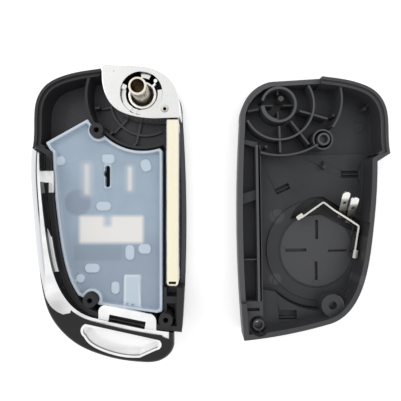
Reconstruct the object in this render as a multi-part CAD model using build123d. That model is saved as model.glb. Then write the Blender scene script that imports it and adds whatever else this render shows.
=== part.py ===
"""Flip remote key, taken apart: the front half with its folded blade beside the back cover, insides up.

Both halves are drawn in their own frame, seen from inside: the flip axis is the origin, +Y runs to the head
and the blade lies on the +X side. The cover is drawn as it closes over the front, then mirrored and laid to the
right.
"""

import os
from math import cos, hypot, radians, sin

from build123d import *

# Case, shared by both halves
RIM_Z = 8.5  # parting plane above the table
FLOOR = 1.5  # skin under the inside of either half
WALL = 1.3  # side wall along the trim and the blade
HEAD_WALL = 1.65  # thicker wall round the head end
LIP_W = 0.8  # outer part of the head-end rim, which stands proud of the rest
LIP_H = 0.6
SKIN_LEVELS = ((0.0, 1.7), (0.4, 0.8), (1.0, 0.25), (2.0, 0.0))  # height and inset of the rounded outer edge
STEP_X = -24.1  # side wall where the trim stands outside it
STEP_Y = -15.1
BUTT_X = -10.5  # end of the wall beside the head
BUTT_Y = 6.45
BOTTOM_Y = -59.5
SEAT = 0.1  # gap between pieces that are set into each other
RUN = 0.3  # gap between pieces that move past each other
SMOOTH = 0.8  # cosine of the sharpest turn that still counts as a smooth stretch

# Flip head and what turns with it
HEAD_Z = 2.6
HEAD_TOP = 10.0
HEAD_REACH = 11.5  # furthest corner of the head from the flip axis
HEAD_ROUND = 0.3
RECESS_R = 5.25
LEDGE_R = 4.05
LEDGE_DROP = 0.55
RECESS_FLOOR = 4.8
CAP_WELL_TOP = 3.6  # hollow under the head that takes the pressed button
BLADE_X = 6.2
BLADE_T = 3.0
BLADE_TIP_Y = -47.7
BLADE_ROOT_Y = -6.1
BLADE_GAP = 0.45  # between the head and the shoulder of the blade
TANG_END_Y = -1.6
TANG_Z = 3.9
TANG_H = 3.4
BLADE_TIP_R = 1.1
BLADE_NOTCH_W = 1.8  # shallow mark across the top near the tip
BLADE_NOTCH_D = 1.2
GROOVE_D = 0.55
GROOVE_H = 2.4
PIN_X = 5.75
TANG_X = (PIN_X - 0.15, BLADE_X + BLADE_T - 0.3)
PIN_Y = -3.8
PIN_R = 0.7
PIN_BORE_R = 0.45
PIN_SINK = 0.75
PIN_L = 6.0
COUNTERSINK_R = 1.1
COUNTERSINK_D = 0.4
SPRING_R = 3.26
WIRE_R = 0.45
SPRING_TURNS = 3
SPRING_PITCH = 1.0
SPRING_LEG_DEG = 38
SPRING_LEG_OUT = 4.55
SPRING_LEG_TOP = 10.4

# Release button and the post on it
RELEASE_R = 4.6
RELEASE_SINK = 0.3  # face of the button above the table
RELEASE_TOP = 1.8
RELEASE_TRAVEL = 1.5
HUB_R = 2.7
HUB_TOP = 5.4
HUB_FIT = 0.08  # running fit of the hub in the head
POST_R = 2.1
POST_BORE_R = 1.62
POST_Z = 2.4
POST_TOP = 15.8
POST_BLIND = 3.4

# Inside of the front half
BOSSES = ((-11.2, -9.05), (-12.85, -51.4), (6.0, -56.25))
BOSS_R = 1.75
BOSS_TOP = 9.5
SCREW_R = 0.65  # pilot hole of the case screws
SCREW_DEPTH = 5.5
LIP_TOP = HEAD_Z - RUN
BAY_R = HEAD_REACH + RUN
CAVITY_WALL_R = 14.2
CAVITY_WALL_LOW_R = 13.2
CAVITY_WALL_T = 0.7
CAVITY_WALL_TOP = 7.8
BAY_RIB_R = 9.3
BAY_RIB_T = 0.6
CHANNEL_WALL_T = 0.45
CHANNEL_WALL_TOP = 3.6
TIP_GAP = 0.8
TIP_BLOCK_TOP = 7.4
TIP_BLOCK_X = 5.7

# Silicone pad over the face buttons
PAD_Z = 4.6
PAD_SHEET = 1.6
PAD_RIM_TOP = 7.6
PAD_RIM_W = 0.75
PAD_BUMP = 0.45
PAD_GAP = 0.1
PAD_ARC_R = 14.0
PAD_RIGHT_X = 5.0

# Face buttons, which hang out through the floor
CAP_SINK = 0.25
CAP_MARGIN = 0.3
CAP_GAP = 0.2
FLANGE_Z = 1.6
FLANGE_T = 0.6
FLANGE_OUT = 0.6
STEM_TOP = 3.9
KEY_TRAVEL = 0.5
KEYS = {
    "unlock_button": (-15.4, -20.9, 4.2, 8.5),
    "lock_button": (-3.8, -20.9, 3.2, 6.8),
    "boot_button": (-8.9, -34.1, 17.4, 7.6),
}
NOTCH_W = 2.0
NOTCH_D = 3.2

# Chrome trim and the black key-ring loop round the lower half
TRIM_LEVELS = (
    (1.2, 2.2),
    (3.2, 0.95),
    (6.0, 0.1),
    (8.5, 0.0),
    (10.4, 0.95),
    (11.6, 2.05),
    (12.3, 3.1),
)  # height and inset of the flank, here and for the loop
LOOP_LEVELS = ((3.6, 1.7), (5.4, 0.45), (7.4, 0.0), (8.5, 0.1), (9.4, 0.9))
RING_EDGE = (
    (-26.3, -8.6),
    (-27.3, -12.7),
    (-27.75, -17.5),
    (-27.4, -26.4),
    (-26.4, -38.0),
    (-25.2, -47.6),
    (-23.1, -55.1),
    (-20.5, -58.9),
    (-15.5, -63.0),
    (-10.5, -65.1),
    (-5.5, -66.4),
    (-0.5, -67.0),
    (4.3, -66.7),
    (7.3, -64.6),
    (8.1, -62.6),
)  # outer edge where the ring is widest
TRIM_STRIP = 0.95
TRIM_END_X = 6.8
TRIM_TOP = (
    (-55.6, 9.5),
    (-53.6, 10.4),
    (-51.0, 11.15),
    (-48.0, 11.7),
    (-44.0, 12.2),
    (-40.0, 12.35),
)  # y and height of its top, which falls from the full height at the side
STRIP_TOP = 9.0  # height along the bottom
STRIP_Y = -57.2
LINER_T = 0.55
TAB_Y = -20.6
TAB_W = 2.9
TAB_IN_X = -22.2
TAB_T = 0.8
TAB_LEG = 2.5
TAB_LEG_W = 1.1
LATCH_T = 0.9
LATCH_SLOT_DEPTH = 0.9  # of the slot's floor under the plate
LEDGE_TOP = RIM_Z - LATCH_T
RAIL_TOP = 10.7  # thin rail inside the trim that the cover snaps over
RAIL_W = 0.7
RAIL_H = 0.5

# Inside of the back cover
COVER_RIM_LOW = 6.4  # wall beside the blade and round the head
COVER_RIB_TOP = 6.7
COVER_RING_IN = 3.95
COVER_RING_OUT = 4.6
COVER_RING_THICK = 0.95
COVER_RIB_R = 8.95
COVER_RIB_T = 0.5
COVER_BASE = 2.2
COVER_PLATEAU = 2.8
COVER_POCKET = 0.9  # floor of the slots and the contact pocket
COVER_SHELF = 4.4  # raised floor at the lower end
CELL = (-10.1, -37.7)
CELL_R = 10.1  # pocket for a 20 mm coin cell
CELL_FLOOR = 2.0
CELL_SLOTS = (
    (-10.5, -32.4, 0.75, 5.1),
    (-10.2, -43.4, 0.75, 4.9),
    (-4.9, -37.8, 5.6, 0.75),
    (-16.0, -38.1, 5.1, 0.55),
)  # centre, width and length of the marks in the floor of the pocket
PLATEAU_R = 13.2
COVER_BOSSES = (
    (1.6, COVER_RIB_TOP + 0.3),
    (2.9, COVER_RIB_TOP + 0.3),
    (1.5, COVER_RIM_LOW - 0.2),
)  # radius and top of the cover's three bosses
SCREW_CLEAR_R = 1.05
SCREW_HEAD_R = 1.25
SCREW_HEAD_D = 1.2
CONTACT_T = 0.45
CONTACT_TOP = 5.6
CONTACT_LINE = (
    (-5.6, -29.0),
    (-11.3, -25.1),
    (-14.0, -27.2),
    (-18.0, -29.8),
    (-20.3, -31.4),
    (-19.2, -37.8),
)
PRONGS = (((-16.4, -29.0), (-16.15, -22.4)), ((-18.4, -30.3), (-18.35, -23.8)))  # foot and tip of each tongue
PRONG_W = 1.95
PRONG_FOOT_Z = 3.4
PRONG_TIP_Z = 8.6

# Where the two halves lie on the table, from the middle of the whole layout
FRONT_AT = (-17.13, 30.07)
COVER_AT = (17.47, 28.02)
COVER_TURN = 0.9


def shape_of(start, *moves):
    """Closed face: a move is a point for a straight run, (through, end) for an arc or a list for a curve."""
    edges = []
    here = start
    for move in moves:
        if isinstance(move, list):
            edges.append(Spline(here, *move))
            here = move[-1]
        elif isinstance(move[0], tuple):
            edges.append(ThreePointArc(here, move[0], move[1]))
            here = move[1]
        else:
            edges.append(Line(here, move))
            here = move
    if hypot(here[0] - start[0], here[1] - start[1]) > 1e-6:
        edges.append(Line(here, start))
    return Face(Wire(edges))


def moved_in(points, inset):
    """Points of a closed outline, drawn anticlockwise, moved inward by the same distance.

    A point of a smooth stretch moves along its normal and a corner moves to where the two moved sides meet.
    """
    moved = []
    for index, (x, y) in enumerate(points):
        before = points[index - 1]
        after = points[(index + 1) % len(points)]
        come = Vector(before[1] - y, x - before[0])
        leave = Vector(y - after[1], after[0] - x)
        first = come.normalized()
        second = leave.normalized()
        if first.dot(second) > SMOOTH:
            shift = (first * leave.length + second * come.length).normalized() * inset
        else:
            shift = (first + second) * (inset / (1 + first.dot(second)))
        moved.append((x + shift.X, y + shift.Y))
    return moved


def inset_shape(inset, start, *moves):
    """Closed face like shape_of, with its whole edge moved inward."""
    points = [start]
    for move in moves:
        is_run = not isinstance(move, list) and not isinstance(move[0], tuple)
        points += [move] if is_run else list(move)
    moved = iter(moved_in(points, inset))
    first = next(moved)
    again = []
    for move in moves:
        if isinstance(move, list):
            again.append([next(moved) for _ in move])
        elif isinstance(move[0], tuple):
            again.append((next(moved), next(moved)))
        else:
            again.append(next(moved))
    return shape_of(first, *again)


def prism(face, low, high):
    """Face drawn at z = 0, raised from low to high."""
    return extrude(Pos(0, 0, low) * face, amount=high - low, dir=(0, 0, 1))


def disc(centre, radius, low, high):
    """Upright cylinder from low to high."""
    align = (Align.CENTER, Align.CENTER, Align.MIN)
    return Pos(centre[0], centre[1], low) * Cylinder(radius, high - low, align=align)


def block(x_low, x_high, y_low, y_high, low, high):
    """Upright box between two corners."""
    size = (x_high - x_low, y_high - y_low, high - low)
    return Pos(x_low, y_low, low) * Box(*size, align=(Align.MIN, Align.MIN, Align.MIN))


def polar(radius, degrees, centre=(0, 0)):
    """Point at a radius and an angle from a centre."""
    return centre[0] + radius * cos(radians(degrees)), centre[1] + radius * sin(radians(degrees))


def wall_along(edge, thickness, low, high):
    """Thin upright wall that follows a line or an arc."""
    return prism(trace(edge, line_width=thickness), low, high)


def ring_wall(radius, thickness, start, end, low, high):
    """Thin wall on a circle round the flip axis, from one angle to a larger one."""
    middle = (start + end) / 2
    arc = ThreePointArc(polar(radius, start), polar(radius, middle), polar(radius, end))
    return wall_along(arc, thickness, low, high)


def spoke(degrees, inner, outer, thickness, low, high):
    """Thin straight wall that points at the flip axis."""
    return wall_along(Line(polar(inner, degrees), polar(outer, degrees)), thickness, low, high)


def tile(centre, width, height, corner, turn=0.0):
    """Rectangle face with rounded corners."""
    return Pos(centre[0], centre[1], 0) * Rot(0, 0, turn) * RectangleRounded(width, height, corner)


def case_face(inset=0.0):
    """Outline that both halves share at the parting plane, or the same moved inward."""
    return inset_shape(
        inset,
        (BUTT_X, BUTT_Y),
        [(-15.3, 5.75), (-20.3, 4.45), (-24.0, 2.4), (-26.2, -0.8), (-26.95, -5.0), (-27.35, -13.1)],
        (STEP_X, STEP_Y),
        [(-23.65, -24.6), (-22.8, -32.4), (-21.3, -41.8), (-19.15, -48.4), (-16.4, -52.6), (-12.0, -55.5)],
        ((-1.4, -57.95), (9.95, BOTTOM_Y)),
        ((10.9, -32.0), (9.85, -4.2)),
        ((7.3, 2.9), (2.0, 5.85)),
    )


def case_shell():
    """Open tray: rounded skin, floor and walls, thicker and with a raised lip round the head end."""
    skin = [Pos(0, 0, height) * case_face(inset) for height, inset in SKIN_LEVELS]
    skin_top = SKIN_LEVELS[-1][0]
    body = loft(skin) + prism(case_face(), skin_top, RIM_Z)
    thin = prism(case_face(WALL), FLOOR, RIM_Z)
    thick = prism(case_face(HEAD_WALL), FLOOR, RIM_Z)
    behind_lip = prism(case_face(LIP_W), RIM_Z - LIP_H, RIM_Z)
    head_end = block(-40, BUTT_X, STEP_Y + 1.9, BUTT_Y + 5, FLOOR, RIM_Z)
    return body - thin + ((thin - thick) & head_end) - (behind_lip & head_end)


def inside():
    """Room within the walls, for trimming ribs."""
    return prism(case_face(WALL / 2), 0, 20)


def front_housing():
    """Front half of the case: a tray with the head bay, blade channel, screw bosses and button openings."""
    shell = case_shell()
    low_cut = disc((0, 0), BAY_R, LIP_TOP, RIM_Z + 1)
    tip_y = BLADE_TIP_Y - TIP_GAP
    low_cut += block(TIP_BLOCK_X, 14, tip_y, BUTT_Y, LIP_TOP, RIM_Z + 1)
    shell -= low_cut
    walls = ring_wall(CAVITY_WALL_R, CAVITY_WALL_T, 156, 219, FLOOR - 0.2, CAVITY_WALL_TOP)
    walls += ring_wall(CAVITY_WALL_LOW_R, CAVITY_WALL_T, 219, 292, FLOOR - 0.2, CAVITY_WALL_TOP)
    walls += ring_wall(BAY_RIB_R, BAY_RIB_T, 188, 298, FLOOR - 0.2, LIP_TOP)
    for degrees, inner in ((191, BAY_RIB_R), (226, 6.9), (258, 6.0)):
        walls += spoke(degrees, inner, CAVITY_WALL_LOW_R, BAY_RIB_T, FLOOR - 0.2, LIP_TOP)
        walls += spoke(degrees, BAY_R + 0.1, CAVITY_WALL_LOW_R, BAY_RIB_T, FLOOR - 0.2, LIP_TOP + 2)
    wall_x = TIP_BLOCK_X - CHANNEL_WALL_T
    walls += block(wall_x, TIP_BLOCK_X, BOTTOM_Y, -12.4, FLOOR - 0.2, CHANNEL_WALL_TOP)
    walls += block(wall_x, 12, BOTTOM_Y, tip_y, FLOOR - 0.2, TIP_BLOCK_TOP)
    walls += block(8.7, 12, BOTTOM_Y, tip_y, FLOOR - 0.2, RIM_Z)
    ledge = shape_of((-11.0, -53.4), (3.5, -55.7), (3.5, BOTTOM_Y), (-11.0, BOTTOM_Y))
    walls += prism(ledge, FLOOR - 0.2, LEDGE_TOP)
    walls += disc((-18.4, -28.3), 3.9, FLOOR - 0.2, PAD_Z)
    walls += block(-19.4, -6.6, -42.5, -39.2, FLOOR - 0.2, PAD_Z)
    shell += walls & inside()
    shell -= block(TIP_BLOCK_X + 0.4, 8.6, tip_y - 2.3, tip_y + 1, 3.0, RIM_Z + 1)
    shell -= block(TIP_BLOCK_X + 0.4, 8.3, -57.9, -52.6, 2.6, RIM_Z + 1)
    for centre in BOSSES:
        shell += disc(centre, BOSS_R, FLOOR - 0.2, BOSS_TOP)
        shell -= disc(centre, SCREW_R, BOSS_TOP - SCREW_DEPTH, BOSS_TOP)
    shell -= prism(latch_plan(SEAT), LEDGE_TOP, RIM_Z + 1)
    shell -= prism(latch_slot(), LEDGE_TOP - LATCH_SLOT_DEPTH, RIM_Z) & prism(case_face(0.4), 0, RIM_Z)
    shell -= tab_cut(SEAT)
    for x, y, width, height in KEYS.values():
        grown = 2 * (CAP_MARGIN + CAP_GAP)
        shell -= prism(tile((x, y), width + grown, height + grown, 1.2), -1, FLOOR + 1)
        well = 2 * (FLANGE_OUT + RUN)
        shell -= prism(tile((x, y), width + well, height + well, 1.2), FLOOR, PAD_Z + 1)
    shell -= disc((0, 0), RELEASE_R + CAP_GAP, -1, FLOOR + 1)
    return shell


def latch_plan(grow=0.0):
    """Plate at the bottom of the trim that the cover hooks under."""
    return shape_of(
        (-10.9 - grow, -57.3),
        (-10.9 - grow, -54.6),
        ((-10.4, -53.2 + grow), (-9.0, -52.75 + grow)),
        (1.6, -54.9 + grow),
        ((3.05 + grow, -55.5 + grow), (3.55 + grow, -56.8)),
        (3.55 + grow, -60.0),
    )


def latch_slot():
    """Slot in the latch plate."""
    return shape_of((-8.15, -55.05), (0.95, -56.9), (0.65, -58.6), (-8.4, -56.7))


def tab_cut(gap=0.0):
    """Room of the clip tab where it crosses the side wall."""
    half = TAB_W / 2 + gap
    room = block(STEP_X - 1, TAB_IN_X + gap, TAB_Y - half, TAB_Y + half, RIM_Z - TAB_T - gap, RIM_Z + 1)
    leg_low = TAB_Y - TAB_W / 2 - TAB_LEG - gap
    leg_in = TAB_IN_X - TAB_LEG_W
    room += block(leg_in - gap, TAB_IN_X + gap, leg_low, TAB_Y, RIM_Z - TAB_T - gap, RIM_Z + 1)
    return room


def ring_body(levels):
    """Ring round the lower half of the case, its flank leaning in above and below the widest height."""
    start, *edge = RING_EDGE
    within = ((edge[-1][0], -56.0), (-8.0, -20.0), (-18.0, -8.6))
    return loft([Pos(0, 0, height) * inset_shape(inset, start, edge, *within) for height, inset in levels])


def chrome_plan():
    """Plan of the chrome part of the ring: the whole band at the side and a thin strip along the bottom."""
    strip = case_face(-SEAT - TRIM_STRIP) & Pos(TRIM_END_X - 50, -30) * Rectangle(100, 100)
    strip_end = shape_of((4.3, -59.3), (5.3, -60.4), (TRIM_END_X, -61.0), (TRIM_END_X, -59.0))
    side = shape_of(
        (-31, -10),
        (-31, -37.5),
        (-27.2, -38.8),
        [(-24.75, -43.7), (-23.75, -47.4), (-22.1, -52.1)],
        ((-20.7, -53.7), (-19.2, -54.6)),
        (-17.4, -54.2),
        (-10, -30),
        (-10, -10),
    )
    return strip + strip_end + side


def above_trim():
    """Room over the trim, whose top falls towards the bottom of the key."""
    low_end = (STRIP_Y - 15, STRIP_TOP)
    high_end = (TRIM_TOP[-1][0], 20.0)
    profile = shape_of((low_end[0], 20.0), low_end, (STRIP_Y, STRIP_TOP), [*TRIM_TOP], high_end)
    return Pos(-40, 0, 0) * extrude(Plane.YZ * profile, amount=60, dir=(1, 0, 0))


def loop_hole(inset=0.0):
    """Opening for the key ring, with its liner or, moved in, without."""
    return inset_shape(
        inset,
        (-13.9, -57.15),
        ((-15.0, -58.3), (-14.3, -60.3)),
        [(-12.75, -62.2), (-10.3, -63.6), (-7.0, -64.75), (-3.6, -65.4), (-0.4, -65.45)],
        (3.7, -63.6),
        ((4.95, -62.4), (4.4, -61.2)),
    )


def trim_frame():
    """Chrome band round the side, with its clip tab, retaining strip and latch plate."""
    inner = prism(case_face(-SEAT), 0, 20)
    band = (ring_body(TRIM_LEVELS) - inner) & prism(chrome_plan(), 0, 20)
    band -= above_trim()
    tab = block(STEP_X - 0.4, TAB_IN_X, TAB_Y - TAB_W / 2, TAB_Y + TAB_W / 2, RIM_Z - TAB_T, RIM_Z)
    leg_low = TAB_Y - TAB_W / 2 - TAB_LEG
    tab += block(TAB_IN_X - TAB_LEG_W, TAB_IN_X, leg_low, TAB_Y, RIM_Z - TAB_T, RIM_Z)
    plate = prism(latch_plan(), LEDGE_TOP, RIM_Z) & prism(case_face(-SEAT - 0.3), 0, 20)
    rail = prism(case_face(-SEAT - 0.1), RAIL_TOP - RAIL_H, RAIL_TOP) - prism(case_face(RAIL_W), 0, 20)
    rail &= prism(rail_reach(), 0, 20)
    return band + tab + plate + rail - prism(latch_slot(), LEDGE_TOP - 1, 20)


def rail_reach(grow=0.0):
    """Stretch of the side along which the rail runs, thin at its upper end."""
    top, low = -33.4 + grow, -43.9 - grow
    step_y = -35.4 + grow
    return shape_of((-25, top), (-25, low), (-19, low), (-19, step_y), (-21.9, step_y), (-22.7, top))


def key_loop():
    """Gloss black loop that carries on from the chrome band."""
    inner = prism(case_face(-SEAT), 0, 20)
    loop = ring_body(LOOP_LEVELS) - inner - prism(chrome_plan(), 0, 20)
    return loop - prism(loop_hole(), 0, 20)


def loop_liner():
    """Chrome ring that lines the hole in the loop."""
    return ring_body(LOOP_LEVELS) & prism(loop_hole() - loop_hole(LINER_T), 0, 20)


def pad_plan(inset=0.0):
    """Plan of the pad, or of its sheet within the rim."""
    plan = inset_shape(
        inset,
        (-24.5, -11.9),
        (-23.1, -14.4),
        (-22.75, -18.5),
        (-26.0, -30.0),
        (-26.0, -44.0),
        (-17.1, -50.2),
        (-10.9, -52.95),
        (3.7, -55.0),
        (PAD_RIGHT_X, -54.6),
        (PAD_RIGHT_X, -14.0),
        polar(PAD_ARC_R, 288),
        (polar(PAD_ARC_R, 254), polar(PAD_ARC_R, 221)),
        polar(PAD_ARC_R + 0.75, 216),
        (-13.2, -7.0),
        (-13.9, -5.95),
    )
    plan = (Sketch() + plan) & case_face(WALL + PAD_GAP + inset)
    for centre in BOSSES:
        plan -= Pos(*centre) * Circle(BOSS_R + PAD_GAP + inset)
    return plan


def button_membrane():
    """Translucent silicone pad: a sheet with a raised rim and bumps, cut round the bosses."""
    plan = pad_plan()
    inner = pad_plan(PAD_RIM_W)
    sheet_top = PAD_Z + PAD_SHEET
    pad = prism(plan, PAD_Z, sheet_top) + prism(plan - inner, PAD_Z, PAD_RIM_TOP)
    bumps = (
        Pos(-21.0, -16.4) * Circle(1.2),
        tile((-8.9, -15.9), 3.2, 2.4, 0.8),
        tile((0.7, -17.6), 2.6, 3.2, 1.1, 20),
        tile((-10.1, -28.0), 3.8, 2.3, 1.0),
        tile((-3.4, -39.8), 2.3, 3.8, 1.0),
        tile((0.4, -38.9), 3.2, 2.5, 1.0),
        tile((-13.0, -43.8), 3.8, 2.3, 1.0),
        Pos(-16.0, -46.4) * Circle(1.15),
        tile((-7.1, -48.8), 2.1, 3.2, 0.95),
        shape_of((-4.9, -45.5), (-1.0, -45.5), (-0.5, -53.3), (-5.1, -52.6)),
    )
    for bump in bumps:
        pad += prism(bump, PAD_Z, sheet_top + PAD_BUMP) & prism(inner, 0, 20)
    slot = tile((-9.1, -20.4), 1.2, 5.5, 0.55)
    pad -= prism(slot, 0, 20)
    pad -= disc((-9.3, -19.7), 0.85, 0, 20)
    pad -= tab_cut(RUN)
    return pad


def face_button(x, y, width, height, notched):
    """Push button seen from inside: cap through the floor, flange behind it and a stem under the pad."""
    cap = tile((x, y), width + 2 * CAP_MARGIN, height + 2 * CAP_MARGIN, 1.0)
    flange = tile((x, y), width + 2 * FLANGE_OUT, height + 2 * FLANGE_OUT, 1.0)
    stem = tile((x, y), width, height, 0.6)
    button = prism(cap, CAP_SINK, FLANGE_Z + 0.1)
    button = chamfer(button.edges().group_by(Axis.Z)[0], 0.35)
    button += prism(flange, FLANGE_Z, FLANGE_Z + FLANGE_T)
    button += prism(stem, FLANGE_Z + FLANGE_T, STEM_TOP)
    if notched:
        top = y + height / 2
        notch = shape_of((x - NOTCH_W, top + 1), (x + NOTCH_W, top + 1), (x, top - NOTCH_D))
        button -= prism(notch, FLANGE_Z + FLANGE_T, STEM_TOP + 1)
    return button


def release_button():
    """Round button in the front face, with the hub that the head turns on."""
    cap = disc((0, 0), RELEASE_R, RELEASE_SINK, RELEASE_TOP)
    cap = fillet(cap.edges().group_by(Axis.Z)[0], 0.5)
    dish = Pos(0, 0, RELEASE_SINK - 15.7) * Sphere(16)
    button = cap - dish + disc((0, 0), HUB_R, RELEASE_TOP, HUB_TOP)
    return button - disc((0, 0), POST_R, POST_Z, HUB_TOP)


def pivot_post():
    """Hollow post that stands in the hub and takes the spring's thrust."""
    post = disc((0, 0), POST_R, POST_Z, POST_TOP)
    post = chamfer(post.edges().group_by(Axis.Z)[-1], 0.15)
    return post - disc((0, 0), POST_BORE_R, POST_BLIND, POST_TOP)


def head_outline():
    """Outline of the flip head, nearly the same turned half round."""
    return shape_of(
        (-8.6, 6.95),
        [(-0.5, 6.6), (3.3, 5.8), (6.5, 3.9), (8.5, 1.1), (9.45, -2.1), (9.8, -5.7)],
        ((9.7, -6.0), (9.45, BLADE_ROOT_Y)),
        (5.2, BLADE_ROOT_Y - 0.15),
        [(1.6, -6.25), (-3.0, -5.45), (-6.2, -4.0), (-8.2, -1.8), (-9.4, 1.1), (-9.75, 5.2)],
        ((-9.6, 6.6), (-8.6, 6.95)),
    )


def sector(radius, start, end):
    """Pie slice round the flip axis."""
    middle = polar(radius, (start + end) / 2)
    return shape_of((0, 0), polar(radius, start), (middle, polar(radius, end)))


def key_head():
    """Die-cast head: recess for the spring, lugs in it, a slot for the blade and a cross hole for its pin."""
    head = prism(head_outline(), HEAD_Z, HEAD_TOP)
    head = fillet(head.edges().group_by(Axis.Z)[-1], HEAD_ROUND)
    head -= disc((0, 0), RECESS_R, RECESS_FLOOR, HEAD_TOP + 1)
    head -= disc((0, 0), RELEASE_R + RUN, HEAD_Z - 1, CAP_WELL_TOP)
    head -= disc((0, 0), HUB_R + HUB_FIT, HEAD_Z, HEAD_TOP)
    ring = Circle(RECESS_R + 0.2) - Circle(LEDGE_R)
    ledge_top = HEAD_TOP - LEDGE_DROP
    head += prism(ring & sector(9, 152, 371), RECESS_FLOOR, ledge_top)
    head += prism(ring & sector(9, 64, 92), RECESS_FLOOR, ledge_top - 0.7)
    for start, end in ((238, 250), (256, 268)):
        head -= prism(ring & sector(9, start, end), ledge_top - 0.5, ledge_top + 1)
    head -= prism(ring & sector(9, 166, 206), ledge_top - 0.9, ledge_top)
    head -= disc((PIN_X, PIN_Y), PIN_R, HEAD_TOP - PIN_SINK - PIN_L, HEAD_TOP + 1)
    sink = Pos(PIN_X, PIN_Y, HEAD_TOP - COUNTERSINK_D / 2)
    head -= sink * Cone(PIN_R, COUNTERSINK_R, COUNTERSINK_D)
    return head - block(*TANG_X, BLADE_ROOT_Y - 1, TANG_END_Y, TANG_Z, TANG_Z + TANG_H)


def key_blade():
    """Uncut blade with a groove along each flat, and the tang that the pin holds in the head."""
    root = BLADE_ROOT_Y - BLADE_GAP
    blade = block(BLADE_X, BLADE_X + BLADE_T, BLADE_TIP_Y, root, HEAD_Z, HEAD_TOP)
    upright = blade.edges().filter_by(Axis.Z).group_by(Axis.Y)
    blade = fillet(upright[0], BLADE_TIP_R)
    blade = fillet(blade.edges().filter_by(Axis.Z).group_by(Axis.Y)[-1], 0.35)
    blade = chamfer(blade.edges().group_by(Axis.Z)[-1], 0.22)
    middle = (HEAD_Z + HEAD_TOP) / 2
    low, high = middle - GROOVE_H / 2, middle + GROOVE_H / 2
    for near in (BLADE_X - 1, BLADE_X + BLADE_T - GROOVE_D):
        far = near + 1 + GROOVE_D if near < BLADE_X else near + 2
        blade -= block(near, far, BLADE_TIP_Y + 4, root - 2.5, low, high)
    centre = BLADE_X + BLADE_T / 2
    notch_x = (centre - BLADE_NOTCH_W / 2, centre + BLADE_NOTCH_W / 2)
    blade -= block(*notch_x, BLADE_TIP_Y + 0.55, BLADE_TIP_Y + 1.2, HEAD_TOP - BLADE_NOTCH_D, HEAD_TOP)
    tang = block(*TANG_X, root, TANG_END_Y, TANG_Z, TANG_Z + TANG_H)
    return blade + tang - disc((PIN_X, PIN_Y), PIN_R, HEAD_Z, HEAD_TOP)


def blade_pin():
    """Rolled pin through the head and the tang."""
    top = HEAD_TOP - PIN_SINK
    bore = disc((PIN_X, PIN_Y), PIN_BORE_R, top - PIN_L / 2, top)
    return disc((PIN_X, PIN_Y), PIN_R, top - PIN_L, top) - bore


def torsion_spring():
    """Coil in the head's recess, with one leg standing up to hook into the cover."""
    low = RECESS_FLOOR + WIRE_R
    height = SPRING_TURNS * SPRING_PITCH
    line = Pos(0, 0, low) * Rot(0, 0, SPRING_LEG_DEG) * Helix(SPRING_PITCH, height, SPRING_R)
    profile = Plane(origin=line @ 0, z_dir=line % 0) * Circle(WIRE_R)
    coil = sweep(profile, path=line, is_frenet=True)
    top = low + height
    out = polar(SPRING_LEG_OUT, SPRING_LEG_DEG)
    start = polar(SPRING_R, SPRING_LEG_DEG)
    run = Plane(origin=(*start, top), z_dir=(out[0], out[1], 0))
    leg = run * Cylinder(WIRE_R, SPRING_LEG_OUT - SPRING_R, align=(Align.CENTER, Align.CENTER, Align.MIN))
    leg += Pos(*start, top) * Sphere(WIRE_R)
    leg += Pos(*out, top) * Sphere(WIRE_R)
    leg += disc(out, WIRE_R, top, SPRING_LEG_TOP)
    return coil + leg


def battery_contact():
    """Strip on edge round the cell, with two tongues up to the board and a bent tip at each end."""
    strip = wall_along(FilletPolyline(*CONTACT_LINE, radius=0.5), CONTACT_T, COVER_PLATEAU, CONTACT_TOP)
    tips = ((-5.2, -28.75, 1.9, 1.1, -35), (-19.3, -38.6, 2.2, 1.2, 100))
    for x, y, length, width, turn in tips:
        strip += prism(tile((x, y), length, width, 0.3, turn), COVER_PLATEAU + 0.4, CONTACT_TOP)
    for foot, tip in PRONGS:
        strip += prong(foot, tip)
    return strip


def prong(foot, tip):
    """Tongue that climbs from the strip, with a round end and a small hole."""
    along = Vector(tip[0] - foot[0], tip[1] - foot[1], PRONG_TIP_Z - PRONG_FOOT_Z)
    side = along.cross(Vector(0, 0, 1))
    plane = Plane(origin=(*foot, PRONG_FOOT_Z), x_dir=side, z_dir=side.cross(along))
    half = PRONG_W / 2
    straight = along.length - half
    outline = shape_of((-half, 0), (half, 0), (half, straight), ((0, along.length), (-half, straight)))
    hole = Pos(0, along.length * 0.6) * Circle(0.42)
    return extrude(plane * (Sketch() + outline - hole), CONTACT_T)


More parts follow.
